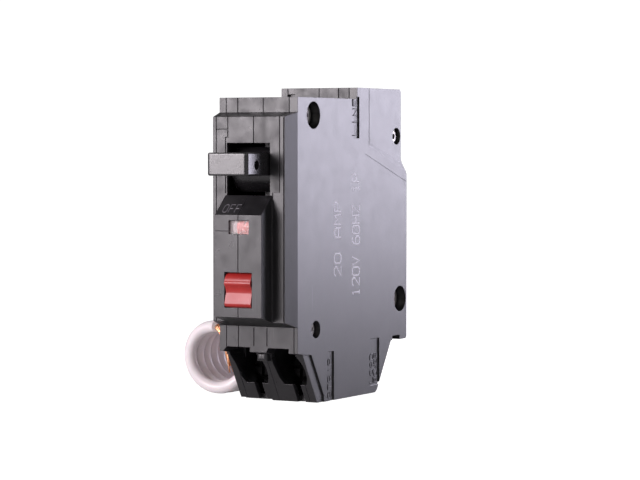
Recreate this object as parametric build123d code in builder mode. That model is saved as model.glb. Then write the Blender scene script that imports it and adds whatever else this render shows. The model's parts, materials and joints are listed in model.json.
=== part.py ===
"""Single-pole ground-fault circuit breaker with a coiled neutral pigtail.

Frame: +X to the right, +Y towards the back, +Z up. The breaker stands on its load end, and the
origin is below the middle of its depth, on the surface that it stands on. Millimetres.
"""

import os
from math import atan2, cos, degrees, hypot, pi, radians, sin, tan

from build123d import *

# ---------------------------------------------------------------- driving dimensions
WIDTH = 25.4  # one pole space
HALF = WIDTH / 2
HEIGHT = 86.4  # front part of the case
REAR_HEIGHT = 89.7  # raised block over the line jaw
BACK = 66.6  # case depth behind the front shoulder
HANDLE_REACH = 17.2  # how far the handle tip stands in front of the shoulder
SHOULDER_Y = (HANDLE_REACH - BACK) / 2  # y of the front shoulder; depths count from it

WALL = 1.6
NOSE_DEPTH = 5.4
BOX_DEPTH = 11.2  # face of the raised box in front of the shoulder
BOX_HALF = 7.5
SEAM_HALF, SEAM_DEPTH = 0.1, 0.45
BOX_WALL = 1.3
LEFT_SPLIT = -10.5  # left cover meets left case
RIGHT_SPLIT = 10.0  # right case meets right cover
COVER_INSIDE = HALF - 1.4
BARRIER = (-1.1, 1.0)  # double wall between the two compartments
BAY_HALF = 9.2  # half width of the control bay behind the nose

HANDLE_PIVOT = (4.0, 66.2)  # depth, height
HANDLE_PIN_RADIUS = 1.25
TIE_HOLE = (-11.9, 67.5)
ARM_PIVOT = (15.0, 60.0)
ARM_PIN_RADIUS = 1.2
ARM_REST_TURN = -8.775  # contact arm at rest, measured from contacts closed
CRANK_RATIO = 0.65
CRADLE_PIVOT = (26.0, 56.0)
ARMATURE_PIVOT = (29.8, 45.6)
INDICATOR_PIVOT = (-5.8, 50.2)
INDICATOR_RADIUS = 3.8
RUNNING_GAP = 0.05

TERMINALS = {"neutral": -6.3, "load": 6.3}  # x of each terminal's centre
SCREW_Z = 9.8
BUTTON_Z = (28.0, 37.5)
BUTTON_MID = sum(BUTTON_Z) / 2
SOLENOID_X, SOLENOID_Z = 5.2, 29.0

# Rivet places: depth, height
LARGE_RIVETS = [(9.0, 81.4), (62.15, 26.9)]
SMALL_RIVETS = [(10.45, 20.9), (60.8, 75.65)]
LARGE_HOLE, LARGE_SHANK, LARGE_HEAD = 3.85, 2.0, 3.3
SMALL_HOLE, SMALL_SHANK, SMALL_HEAD = 2.5, 1.4, 2.2
LARGE_CUP_FLOOR, SMALL_CUP_FLOOR = 9.3, 10.3  # x of the floors that the right rivet heads bear on
ROLLED_HEAD = 0.9
CUP_WALL = 0.9

WIRE = 3.6  # pigtail over its insulation
COIL_X, COIL_Z = -24.6, 11.2
COIL_RADIUS = 9.4  # of the wire's centreline
COIL_FRONT, COIL_PITCH, COIL_TURNS = 16.7, 4.0, 8.5
BARE_RADIUS = 1.15
INNER_WIRE = 1.6
BRAID_RADIUS = 0.9
TIE_HOLE_RADIUS = 1.3
CASE_REACH = ((-20, 70), (-5, 95))  # depths and heights that take in the whole case
SEAM_STEP = ((-20, WALL), (14.7, 22))  # lower shoulder, where the seams step sideways
HANDLE_TOP = ((-20, WALL), (59, 95))  # from the handle slot up, where the seam steps too

# Layers of the moving parts in the left compartment: x of the left face, thickness
ARM_LAYER = (-8.6, 1.6)
CRADLE_LAYER = (-5.2, 1.6)

# Depth and height of the closed case, anticlockwise from the bottom front
OUTLINE = [
    (0, 14.7), (3.6, 14.2), (12, 0), (47, 0), (56.4, 14.7), (BACK, 14.7), (BACK, 64.2),
    (63.7, 68.8), (63.7, REAR_HEIGHT), (35.1, REAR_HEIGHT), (35.1, HEIGHT), (0, HEIGHT),
]
ROUNDED_CORNERS = [((63.7, REAR_HEIGHT), 1.2), ((BACK, 14.7), 1.0), ((47, 0), 2.5)]
MAIN_CAVITY = [
    (WALL, 18.2), (31, 18.2), (31, WALL), (46.1, WALL), (56.3, 17.6), (65, 17.6), (65, 63.2),
    (61.2, 68.6), (61.2, 88.1), (36.7, 88.1), (36.7, 84.8), (WALL, 84.8),
]
TERMINAL_CAVITY = [(4.05, 16.6), (12.91, WALL), (29.4, WALL), (29.4, 16.6)]
BOX_PROFILE = [(0, 22), (-BOX_DEPTH, 25.2), (-BOX_DEPTH, 53.6), (-NOSE_DEPTH, 59), (0, 59)]
BOX_CAVITY = [(-3.9, 26), (-9.9, 26.6), (-9.9, 53), (-4.5, 58), (-3.9, 58)]
# Straight sides of each terminal opening: x from the terminal's centre, height
OPENING_LEFT_TOP = {
    "neutral": [(-5.5, 13.4), (-5.5, 14.6), (-4.1, 16.0)],
    "load": [(-4.7, 13.0), (-3.2, 16.0)],
}
OPENING_BOTTOM = [(4.1, 5.1), (-3.0, 5.1), (-4.0, 7.0), (-4.7, 11.0)]
OPENING_RIGHT_TOP = [(3.5, 16.0), (3.4, 13.6)]
# Label recesses in the right side: shallow and deep end in depth, bottom and top
LABEL_RECESSES = [(32.3, 36.3, 75, 87), (41.7, 48.9, 2.3, 16), (16.7, 21.0, -1, 14.1)]
LABEL_DEPTH = 0.45
BAY_DEPTH = (-4.0, 1.7)
BAY_Z = (25.4, 79.4)


# ---------------------------------------------------------------- planes and simple cuts
def side(x):
    """Plane at x whose sketch axes are depth behind the shoulder and height."""
    return Plane(origin=(x, SHOULDER_Y, 0), x_dir=(0, 1, 0), z_dir=(1, 0, 0))


def front(depth):
    """Plane at a depth whose sketch axes are x and height; extruding by less than 0 goes back."""
    return Plane(origin=(0, SHOULDER_Y + depth, 0), x_dir=(1, 0, 0), z_dir=(0, -1, 0))


def level(z):
    """Plane at a height whose sketch axes are x and depth."""
    return Plane(origin=(0, SHOULDER_Y, z))


def at(x, depth, z):
    return Vector(x, SHOULDER_Y + depth, z)


def prism(points, x, mode=Mode.ADD):
    """Side outline, extruded from x[0] to x[1] in the part being built."""
    with BuildSketch(side(x[0])) as outline:
        with BuildLine():
            Polyline(*points, close=True)
        make_face()
    extrude(outline.sketch, amount=x[1] - x[0], mode=mode)


def block(x, depth, z, mode=Mode.ADD):
    """Box between two values of x, of depth and of height."""
    with Locations(at(x[0], depth[0], z[0])):
        Box(x[1] - x[0], depth[1] - depth[0], z[1] - z[0], align=(Align.MIN,) * 3, mode=mode)


def rod_x(x, place, radius, mode=Mode.ADD):
    """Round bar or hole across the width, at a place given as depth and height."""
    with BuildSketch(side(x[0])) as section:
        with Locations(place):
            Circle(radius)
    extrude(section.sketch, amount=x[1] - x[0], mode=mode)


def rod_y(depth, place, radius, mode=Mode.ADD):
    """Round bar or hole from front to back, at a place given as x and height."""
    with BuildSketch(front(depth[0])) as section:
        with Locations(place):
            Circle(radius)
    extrude(section.sketch, amount=depth[0] - depth[1], mode=mode)


def export(part, name):
    part.label = name
    export_step(part, f"parts/{name}.step")


def coil_spring(start, end, radius, wire, turns):
    """Round-wire helix between two points of the row."""
    axis = end - start
    length = axis.length - 2 * wire
    foot = start + axis.normalized() * wire
    with BuildPart() as spring:
        with BuildLine() as path:
            Helix(length / turns, length, radius, center=foot, direction=axis)
        with BuildSketch(Plane(origin=path.line @ 0, z_dir=path.line % 0)):
            Circle(wire / 2)
        sweep(is_frenet=True)
    return spring.part


# Cable gland in the slanted wall at the back of the load end
SLANT_RUN, SLANT_RISE = 9.4, 14.7
GLAND_HEIGHT = 8.3
GLAND_BODY = 2.45
GLAND_DIRECTION = Vector(0, SLANT_RISE, -SLANT_RUN).normalized()
GLAND_PLACE = at(-5.5, 47 + GLAND_HEIGHT * SLANT_RUN / SLANT_RISE, GLAND_HEIGHT)
GLAND_PLANE = Plane(origin=GLAND_PLACE, x_dir=(1, 0, 0), z_dir=GLAND_DIRECTION)
GLAND_INSIDE = GLAND_PLACE - GLAND_DIRECTION * 2.2


# ---------------------------------------------------------------- outside of the closed case
def make_housing():
    with BuildPart() as housing:
        prism(OUTLINE, (-HALF, HALF))
        for place, radius in ROUNDED_CORNERS:
            fillet(housing.edges().filter_by(Axis.X).sort_by_distance(at(0, *place))[0], radius)
        with BuildSketch(front(0)):
            with Locations((0, (22 + 82.2) / 2)):
                Rectangle(WIDTH, 82.2 - 22)
        with BuildSketch(front(-NOSE_DEPTH)):
            with Locations((0, (23.6 + 80.9) / 2)):
                Rectangle(2 * 11.6, 80.9 - 23.6)
        loft()
        prism(BOX_PROFILE, (-BOX_HALF, BOX_HALF))
        cut_front_openings()
        cut_terminal_openings()
        cut_side_recesses()
        cut_rear_features()
        cut_mould_lines()
        cut_seams()
        add(make_divider_nub())
    return housing.part


def make_divider_nub():
    """Small rounded stop at the top of the rib between the terminal openings."""
    with BuildPart() as nub:
        block((-1.8, 1.5), (1.8, 6), (12.0, 14.6))
        front_face = nub.faces().sort_by(Axis.Y)[0]
        fillet(front_face.edges(), 0.9)
    return nub.part


def cut_front_openings():
    """Handle slot, test button opening and indicator window."""
    block((-7.0, 6.9), (-7, -2), (58.95, 73.6), Mode.SUBTRACT)
    block((-4.4, 4.4), (-12, -8), (27.8, 37.7), Mode.SUBTRACT)
    block((-3.0, 3.5), (-12, -8), (48.3, 52.1), Mode.SUBTRACT)


def cut_terminal_openings():
    """D-shaped opening over each terminal, with a wire slot down to the bottom edge."""
    for name, centre in TERMINALS.items():
        outline = OPENING_BOTTOM + OPENING_LEFT_TOP[name] + OPENING_RIGHT_TOP
        flats = [(centre + x, z) for x, z in outline]
        with BuildSketch(front(-1)) as opening:
            with BuildLine():
                Polyline(*flats)
                ThreePointArc(flats[-1], (centre + 5.2, 9.3), flats[0])
            make_face()
        extrude(opening.sketch, amount=-13, mode=Mode.SUBTRACT)
        slot = centre + 0.95
        block((slot - 1.3, slot + 1.3), (5, 13.5), (-1, 6), Mode.SUBTRACT)


def cut_side_recesses():
    """Shallow ramped label recesses and stepped corners on the right side."""
    for low, high, bottom, top in LABEL_RECESSES:
        with BuildSketch(level(bottom)) as wedge:
            with BuildLine():
                Polyline((HALF + 0.1, low), (HALF - LABEL_DEPTH, high), (HALF + 0.1, high), close=True)
            make_face()
        extrude(wedge.sketch, amount=top - bottom, mode=Mode.SUBTRACT)
    add(make_corner_recess(), mode=Mode.SUBTRACT)
    crease = [(39.8, 70.3), (39.85, 70.5), (67.45, 61.7), (67.4, 61.5)]
    prism(crease, (HALF - 0.04, HALF + 1), Mode.SUBTRACT)
    slant_band = [(3.2, 14.2), (7.8, 13.9), (15.1, 1.8), (15.1, -1), (9, -1)]
    prism(slant_band, (HALF - 0.5, HALF + 1), Mode.SUBTRACT)


def make_corner_recess():
    """Space of the shallow recess round the raised block, with sloping sides."""
    floor = [(43.6, 91), (43.6, 74.1), (66, 67.1), (72, 67.1), (72, 91)]
    mouth = [(42.2, 91), (42.2, 72.8), (65.4, 65.4), (72, 65.4), (72, 91)]
    with BuildPart() as recess:
        for x, points in ((HALF - 0.5, floor), (HALF, mouth)):
            with BuildSketch(side(x)):
                with BuildLine():
                    Polyline(*points, close=True)
                make_face()
        loft()
    return recess.part


def make_seam_core():
    """The closed case less a skin, which the grooves along the seams don't reach into."""
    with BuildPart() as core:
        for outline, half_width in ((OUTLINE, HALF), (BOX_PROFILE, BOX_HALF)):
            with BuildSketch(side(-half_width - 1)) as inner:
                with BuildLine():
                    Polyline(*outline, close=True)
                make_face()
                offset(amount=-SEAM_DEPTH, kind=Kind.INTERSECTION)
            extrude(inner.sketch, amount=2 * half_width + 2)
        block((-HALF, HALF), (-NOSE_DEPTH + SEAM_DEPTH, 2), (23.6 + SEAM_DEPTH, 80.9 - SEAM_DEPTH))
    return core.part


def cut_seams():
    """Narrow grooves round the case where its mouldings meet."""
    seams = [
        (LEFT_SPLIT, (-20, 70), (-5, 95)),
        (RIGHT_SPLIT, (-20, 70), (59.9, 95)),
        (RIGHT_SPLIT, (-4.9, 70), (22, 59.9)),
        (RIGHT_SPLIT, (WALL, 70), (-5, 22)),
        (RIGHT_SPLIT, (-20, WALL), (-5, 14.7)),
        (11.5, (-20, WALL), (14.7, 22)),
        (7.8, (-20, -5), (22, 59.9)),
        (0, (-20, 70), (22, 59)),
        (0, (WALL, 70), (-5, 95)),
        (0, (-20, WALL), (-5, 14.7)),
        (-6.6, (-20, WALL), (14.7, 22)),
        (1.6, (-20, WALL), (59, 95)),
    ]
    with BuildPart() as grooves:
        for x, depth, z in seams:
            block((x - SEAM_HALF, x + SEAM_HALF), depth, z)
        add(make_seam_core(), mode=Mode.SUBTRACT)
    add(grooves.part, mode=Mode.SUBTRACT)


def cut_rear_features():
    """Rail notch under the rear step, line jaw slot, and small steps at both ends."""
    block((-HALF - 1, HALF + 1), (57.3, 62), (14, 16), Mode.SUBTRACT)
    block((-9.0, -6.6), (60, 64), (79, 87), Mode.SUBTRACT)
    block((-10.6, -8.2), (34, 36.2), (86.4, 87.9), Mode.SUBTRACT)
    block((-HALF - 1, -2.4), (5, 14.5), (-1, 0.5), Mode.SUBTRACT)


def cut_mould_lines():
    """Fine lines that the mouldings show on the front."""
    line, deep = 0.12, 0.35
    block((-6.7 - line, -6.7 + line), (-1, deep), (82.3, 86.5), Mode.SUBTRACT)
    for x in (-1.5, 2.75):
        block((x - line, x + line), (-1, deep), (16.5, 21.6), Mode.SUBTRACT)
    face = -BOX_DEPTH
    block((-8, -3), (face - 1, face + deep), (49.1 - line, 49.1 + line), Mode.SUBTRACT)
    nose = -NOSE_DEPTH
    for x, z in [((-10.5, -6.7), (77.4 - line, 77.4 + line)), ((-6.85, -6.85 + 2 * line), (75, 82)),
                 ((11.2, 11.2 + 2 * line), (23.8, 80.7)),
                 ((-7.6, -6.7), (75, 75 + 2 * line)), ((-7.6, -7.6 + 2 * line), (59.5, 75))]:
        block(x, (nose - 1, nose + deep), z, Mode.SUBTRACT)
    block((6.5 - line, 6.5 + line), (34, 35.1 + deep), (86.4, 91), Mode.SUBTRACT)


# ---------------------------------------------------------------- the four mouldings
def clip_to_housing(housing):
    add(housing, mode=Mode.INTERSECT)


def rivet_holes(x, large, small):
    """Through holes for the four rivets between two values of x."""
    for place in LARGE_RIVETS:
        rod_x(x, place, large, Mode.SUBTRACT)
    for place in SMALL_RIVETS:
        rod_x(x, place, small, Mode.SUBTRACT)


def rivet_posts(x, large, small):
    for place in LARGE_RIVETS:
        rod_x(x, place, large)
    for place in SMALL_RIVETS:
        rod_x(x, place, small)


def make_left_cover(housing):
    with BuildPart() as cover:
        block((-HALF, LEFT_SPLIT), *CASE_REACH)
        clip_to_housing(housing)
        prism(MAIN_CAVITY, (-COVER_INSIDE, LEFT_SPLIT), Mode.SUBTRACT)
        prism(TERMINAL_CAVITY, (-COVER_INSIDE, LEFT_SPLIT), Mode.SUBTRACT)
        rivet_posts((-COVER_INSIDE - 0.2, LEFT_SPLIT), 4.2, 2.9)
        rivet_holes((-HALF - 1, -11.5), LARGE_HOLE, SMALL_HOLE)
        rivet_holes((-HALF, 0), LARGE_SHANK + 0.1, SMALL_SHANK + 0.1)
        rod_x((-COVER_INSIDE - 0.2, -6.8), HANDLE_PIVOT, 2.3)
        rod_x((-11.2, 0), HANDLE_PIVOT, HANDLE_PIN_RADIUS, Mode.SUBTRACT)
        rod_x((-COVER_INSIDE - 0.2, -9.0), ARM_PIVOT, 2.4)
        rod_x((-11.2, 0), ARM_PIVOT, ARM_PIN_RADIUS, Mode.SUBTRACT)
    return cover.part


def cut_handle_relief(x):
    """Arc through the barrier for the handle's skirt."""
    with BuildSketch(side(x[0])) as relief:
        with Locations(HANDLE_PIVOT):
            Circle(8.2)
            Circle(5.9, mode=Mode.SUBTRACT)
        with Locations((HANDLE_PIVOT[0] - 8.5, HANDLE_PIVOT[1])):
            Rectangle(20, 20, mode=Mode.INTERSECT)
    extrude(relief.sketch, amount=x[1] - x[0], mode=Mode.SUBTRACT)


def hollow_case(x):
    """Main compartment and terminal space between two values of x."""
    prism(MAIN_CAVITY, x, Mode.SUBTRACT)
    prism(TERMINAL_CAVITY, x, Mode.SUBTRACT)


def cut_shared_bay():
    """Space behind the nose and raised box, shared by the handle, button and indicator."""
    block((-BAY_HALF, BAY_HALF), BAY_DEPTH, BAY_Z, Mode.SUBTRACT)
    box_inside = BOX_HALF - BOX_WALL
    prism(BOX_CAVITY, (-box_inside, box_inside), Mode.SUBTRACT)
    rod_x((-7.0, 7.0), INDICATOR_PIVOT, 0.8 + RUNNING_GAP, Mode.SUBTRACT)
    cut_handle_relief(BARRIER)


def cut_barrier_windows():
    """Ways through the barrier for the conductors, the trip finger and the test stem."""
    block(BARRIER, (41, 48.5), (5.6, 13.8), Mode.SUBTRACT)
    block(BARRIER, (31.2, 34.3), (6.8, 10.0), Mode.SUBTRACT)
    block(BARRIER, (26.2, 31.8), (27.2, 30.8), Mode.SUBTRACT)
    rod_y((1.7, 8.0), (0, BUTTON_MID), 1.8, Mode.SUBTRACT)


def cut_wire_slot(x):
    """Way through the wall behind a terminal for its conductor."""
    block((x - 1.1, x + 1.1), (29, 31.5), (12.2, 15.6), Mode.SUBTRACT)


def make_left_case(housing):
    with BuildPart() as case:
        block((LEFT_SPLIT, 0), *CASE_REACH)
        block((0, 1.6), *HANDLE_TOP)
        block((-6.6, 0), *SEAM_STEP, Mode.SUBTRACT)
        clip_to_housing(housing)
        hollow_case((LEFT_SPLIT, BARRIER[0]))
        rivet_posts((LEFT_SPLIT, 0), 4.2, 2.9)
        block((LEFT_SPLIT, BARRIER[0]), (38.6, 45), (16.6, 18.4))
        block((-3.6, 0), (1.7, 2.9), (29.2, 36.3))
        cut_shared_bay()
        cut_barrier_windows()
        rivet_holes((-12, 1), LARGE_SHANK + 0.1, SMALL_SHANK + 0.1)
        rod_x((BARRIER[0], 0), HANDLE_PIVOT, HANDLE_PIN_RADIUS, Mode.SUBTRACT)
        rod_x((BARRIER[0], 0), ARM_PIVOT, ARM_PIN_RADIUS, Mode.SUBTRACT)
        rod_x((BARRIER[0], 0), CRADLE_PIVOT, 1.0, Mode.SUBTRACT)
        cut_wire_slot(-6.3)
        with BuildSketch(GLAND_PLANE.offset(-3)):
            Circle(GLAND_BODY)
        extrude(amount=5, mode=Mode.SUBTRACT)
    return case.part


def make_right_case(housing):
    with BuildPart() as case:
        block((0, RIGHT_SPLIT), *CASE_REACH)
        block((0, 1.6), *HANDLE_TOP, Mode.SUBTRACT)
        block((-6.6, 0), *SEAM_STEP)
        block((RIGHT_SPLIT, 11.5), *SEAM_STEP)
        block((7.8, RIGHT_SPLIT), (-20, -4), (20, 59.9), Mode.SUBTRACT)
        clip_to_housing(housing)
        hollow_case((BARRIER[1], RIGHT_SPLIT))
        rivet_posts((0, 7.8), 4.2, 2.9)
        block((0, 3.6), (1.7, 2.9), (29.2, 36.3))
        cut_shared_bay()
        cut_barrier_windows()
        rivet_holes((-1, 12), LARGE_SHANK + 0.1, SMALL_SHANK + 0.1)
        rivet_holes((7.8, 12), LARGE_HOLE + CUP_WALL, SMALL_HOLE + CUP_WALL)
        cut_wire_slot(6.3)
    return case.part


def make_right_cover(housing):
    with BuildPart() as cover:
        block((RIGHT_SPLIT, HALF), *CASE_REACH)
        block((RIGHT_SPLIT, 11.5), *SEAM_STEP, Mode.SUBTRACT)
        block((7.8, RIGHT_SPLIT), (-20, -4), (20, 59.9))
        rivet_posts((7.8, RIGHT_SPLIT), LARGE_HOLE + CUP_WALL, SMALL_HOLE + CUP_WALL)
        clip_to_housing(housing)
        prism(MAIN_CAVITY, (RIGHT_SPLIT, COVER_INSIDE), Mode.SUBTRACT)
        prism(TERMINAL_CAVITY, (RIGHT_SPLIT, COVER_INSIDE), Mode.SUBTRACT)
        rivet_posts((RIGHT_SPLIT - 0.5, COVER_INSIDE + 0.2), LARGE_HOLE + CUP_WALL - 0.05,
                    SMALL_HOLE + CUP_WALL - 0.05)
        clip_to_housing(housing)
        for place in LARGE_RIVETS:
            rod_x((LARGE_CUP_FLOOR, 14), place, LARGE_HOLE, Mode.SUBTRACT)
        for place in SMALL_RIVETS:
            rod_x((SMALL_CUP_FLOOR, 14), place, SMALL_HOLE, Mode.SUBTRACT)
        rivet_holes((7, 14), LARGE_SHANK + 0.1, SMALL_SHANK + 0.1)
    return cover.part


def make_rivets(places, shank, head, floor):
    """Semi-tubular rivets, with the rolled end at the right."""
    end = floor + ROLLED_HEAD
    with BuildPart() as rivets:
        for place in places:
            rod_x((-11.5, floor), place, shank)
            rod_x((-12.3, -11.5), place, head)
            rod_x((floor, end), place, head - 0.1)
            rim = rivets.edges().group_by(Axis.X)[-1].sort_by(SortBy.LENGTH)[-1]
            fillet(rim, 0.5)
            rod_x((3, end), place, shank * 0.62, Mode.SUBTRACT)
    return rivets.part


# ---------------------------------------------------------------- handle and contacts
CRANK_REACH = hypot(ARM_PIVOT[0] - HANDLE_PIVOT[0], ARM_PIVOT[1] - HANDLE_PIVOT[1])
CRANK_ANGLE = atan2(ARM_PIVOT[1] - HANDLE_PIVOT[1], ARM_PIVOT[0] - HANDLE_PIVOT[0])
CRANK_THROW = CRANK_REACH * CRANK_RATIO / (1 + CRANK_RATIO)
CRANK_PIN = (HANDLE_PIVOT[0] + CRANK_THROW * cos(CRANK_ANGLE),
             HANDLE_PIVOT[1] + CRANK_THROW * sin(CRANK_ANGLE))
FORK_ANGLE = degrees(CRANK_ANGLE) + 180 - ARM_REST_TURN


def keep_front():
    """Keep the front 120 degrees round the handle's pivot of the sketch being drawn."""
    reach = 20
    corner = (-reach * cos(pi / 3), reach * sin(pi / 3))
    with BuildLine() as wedge:
        Polyline((0, 0), corner, (-2 * reach, 0), (corner[0], -corner[1]), close=True)
    make_face(wedge.edges(), mode=Mode.INTERSECT)


def make_handle():
    pivot = Plane(origin=at(0, *HANDLE_PIVOT), x_dir=(0, 1, 0), z_dir=(1, 0, 0))
    with BuildPart() as handle:
        with BuildSketch(side(-6.5)):
            with Locations((-(HANDLE_REACH + 2.8) / 2, 67.75)):
                Rectangle(HANDLE_REACH - 2.8, 6.4)
        extrude(amount=13)
        tip = handle.edges().filter_by(Axis.Z).group_by(Axis.Y)[0]
        fillet(tip, 1.1)
        face = handle.faces().sort_by(Axis.Y)[0]
        fillet(face.edges().filter_by(Axis.X), 0.5)
        with BuildSketch(pivot.offset(-6.5)):
            Circle(7.3)
            Circle(6.0, mode=Mode.SUBTRACT)
            keep_front()
        extrude(amount=13)
        with BuildSketch(pivot.offset(-6.3)):
            Circle(7.3)
            keep_front()
        extrude(amount=5)
        with BuildSketch(pivot.offset(-6.3)):
            Circle(4.5)
            with PolarLocations(CRANK_THROW, 1, start_angle=degrees(CRANK_ANGLE)):
                Circle(1.6)
        extrude(amount=5)
        rod_x((-8.9, -6.3), CRANK_PIN, 0.8)
        rod_x((-7, 7), HANDLE_PIVOT, HANDLE_PIN_RADIUS + RUNNING_GAP, Mode.SUBTRACT)
        rod_x((-7, 7), TIE_HOLE, TIE_HOLE_RADIUS, Mode.SUBTRACT)
    return handle.part


def make_arm():
    """Stamped contact arm: fork at the handle's crank, boss at its pin, plateau at the contact."""
    turn = radians(ARM_REST_TURN)
    x, thickness = ARM_LAYER
    plane = Plane(origin=at(x, *ARM_PIVOT), x_dir=(0, cos(turn), sin(turn)), z_dir=(1, 0, 0))
    with BuildPart() as arm:
        with BuildSketch(plane):
            Circle(3.0)
            Rectangle(9.3, 5.0, rotation=FORK_ANGLE, align=(Align.MIN, Align.CENTER))
            with PolarLocations(6.3, 1, start_angle=FORK_ANGLE):
                Rectangle(4, 2.5, align=(Align.MIN, Align.CENTER), mode=Mode.SUBTRACT)
            with BuildLine():
                Polyline((0, -2.6), (13, 1.2), (23.8, 8.6), (23.8, 11.5), (19.4, 11.5),
                         (11, 5.6), (0, 2.8), close=True)
            make_face()
            Circle(ARM_PIN_RADIUS + RUNNING_GAP, mode=Mode.SUBTRACT)
        extrude(amount=thickness)
        with BuildSketch(plane.offset(thickness)):
            with Locations((9, 3.0)):
                Circle(0.55)
        extrude(amount=1.6)
    contact_centre = plane.from_local_coords((22, 11.5, thickness / 2))
    with BuildPart() as tip:
        with BuildSketch(Plane(origin=contact_centre, x_dir=(1, 0, 0), z_dir=plane.y_dir)):
            Circle(1.8)
        extrude(amount=1.1)
    return arm.part, tip.part


def make_line_side():
    """Line jaw with its strap, the steel jaw spring, the fixed contact and the arc plates."""
    with BuildPart() as jaw:
        block((-9.8, -5.8), (34, 51), (73.8, 75.0))
        block((-9.3, -6.3), (50, 51.2), (73.8, 86.6))
        for x in (-9.3, -7.1):
            block((x, x + 0.8), (51.2, 60.6), (79.2, 86.6))
    with BuildPart() as spring:
        block((-9.9, -5.7), (49.2, 49.9), (80, 86))
        block((-9.9, -9.35), (49.9, 59.5), (80, 86))
        block((-6.25, -5.7), (49.9, 59.5), (80, 86))
    with BuildPart() as contact:
        with BuildSketch(level(72.8)):
            with Locations((-7.8, 37.0)):
                Circle(1.8)
        extrude(amount=1.0)
    with BuildPart() as plates:
        for step in range(4):
            low = 57.5 + 3.6 * step
            block((-10.3, -3.0), (43.0, 51.0), (low, low + 1.0))
            block((-8.8, -6.8), (42.0, 46.0), (low - 1, low + 2), Mode.SUBTRACT)
    with BuildPart() as liner:
        block((-10.4, -2.9), (51.0, 51.8), (56.5, 72.0))
        block((-2.9, -2.2), (43.0, 51.8), (56.5, 72.0))
    return {"line_jaw": jaw.part, "jaw_spring": spring.part, "fixed_contact": contact.part,
            "arc_plates": plates.part, "arc_chute_liner": liner.part}


# ---------------------------------------------------------------- latch, armature and bimetal
def make_trip_unit():
    cradle_x, cradle_thickness = CRADLE_LAYER
    with BuildPart() as cradle:
        with BuildSketch(side(cradle_x)):
            with Locations(CRADLE_PIVOT):
                Circle(2.6)
            with BuildLine():
                Polyline((24.0, 57.2), (22.4, 43.0), (24.8, 42.4), (28.4, 55.0), (33.6, 52.8),
                         (34.4, 54.8), (27.0, 58.4), close=True)
            make_face()
            with Locations(CRADLE_PIVOT):
                Circle(1.0 + RUNNING_GAP, mode=Mode.SUBTRACT)
        extrude(amount=cradle_thickness)
        rod_x((cradle_x - 1.6, cradle_x), (33.0, 54.0), 0.55)
    with BuildPart() as armature:
        block((-9.0, -3.0), (29.2, 30.4), (24.0, 44.6))
        rod_x((-9.0, -3.0), ARMATURE_PIVOT, 1.5)
        rod_x((-10, -2), ARMATURE_PIVOT, 0.6 + RUNNING_GAP, Mode.SUBTRACT)
        block((-7.0, -5.0), (29, 31), (30.8, 34.4), Mode.SUBTRACT)
    with BuildPart() as bimetal:
        block((-8.2, -3.8), (35.6, 36.4), (19.6, 46.0))
    with BuildPart() as yoke:
        block((-9.4, -2.6), (34.0, 38.2), (27.0, 39.0))
        block((-8.4, -3.6), (33.0, 37.0), (26.0, 40.0), Mode.SUBTRACT)
    with BuildPart() as strap:
        block((-8.2, -3.8), (35.0, 46.0), (18.4, 19.6))
        block((-8.2, -3.8), (42.0, 43.2), (19.6, 27.0))
        rod_y((41, 44), (-6.0, 23.5), 1.2, Mode.SUBTRACT)
    with BuildPart() as screw:
        rod_y((36.4, 46.0), (-6.0, 23.5), 1.2)
        rod_y((46.0, 47.6), (-6.0, 23.5), 2.2)
        block((-9, -3), (47.0, 48), (23.2, 23.8), Mode.SUBTRACT)
    return {"cradle": cradle.part, "armature": armature.part, "bimetal": bimetal.part,
            "magnet_yoke": yoke.part, "bimetal_strap": strap.part,
            "calibration_screw": screw.part}


def make_pins():
    pins = {"handle_pin": ((-11.2, 0), HANDLE_PIVOT, HANDLE_PIN_RADIUS),
            "arm_pin": ((-11.2, 0), ARM_PIVOT, ARM_PIN_RADIUS),
            "cradle_pin": ((-5.8, 0), CRADLE_PIVOT, 1.0),
            "armature_pin": ((-10.4, BARRIER[0]), ARMATURE_PIVOT, 0.6)}
    made = {}
    for name, (x, place, radius) in pins.items():
        with BuildPart() as pin:
            rod_x(x, place, radius)
        made[name] = pin.part
    return made


# ---------------------------------------------------------------- ground-fault unit
def make_solenoid():
    place = (SOLENOID_X, SOLENOID_Z)
    with BuildPart() as bobbin:
        rod_y((36.0, 37.0), place, 3.8)
        rod_y((37.0, 49.0), place, 2.1)
        rod_y((49.0, 50.0), place, 3.8)
        rod_y((35, 51), place, 1.5 + RUNNING_GAP * 2, Mode.SUBTRACT)
    with BuildPart() as winding:
        rod_y((37.0, 49.0), place, 3.5)
        rod_y((37.0, 49.0), place, 2.1, Mode.SUBTRACT)
    with BuildPart() as frame:
        block((1.4, 9.0), (50.0, 51.2), (24.4, 33.8))
        for z in (24.4, 33.0):
            block((1.4, 9.0), (36.0, 50.0), (z, z + 0.8))
    with BuildPart() as plunger:
        rod_y((27.0, 46.0), place, 1.5)
        block((-4.6, 6.7), (27.0, 28.4), (28.0, 30.0))
    return {"solenoid_bobbin": bobbin.part, "solenoid_winding": winding.part,
            "solenoid_frame": frame.part, "trip_plunger": plunger.part}


def make_transformer(depth):
    """Toroid round the two conductors."""
    with BuildPart() as toroid:
        rod_y((depth, depth + 3.2), (6.1, 9.5), 4.8)
        rod_y((depth, depth + 3.2), (6.1, 9.5), 2.4, Mode.SUBTRACT)
        fillet(toroid.edges().filter_by(GeomType.CIRCLE), 0.6)
    return toroid.part


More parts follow.
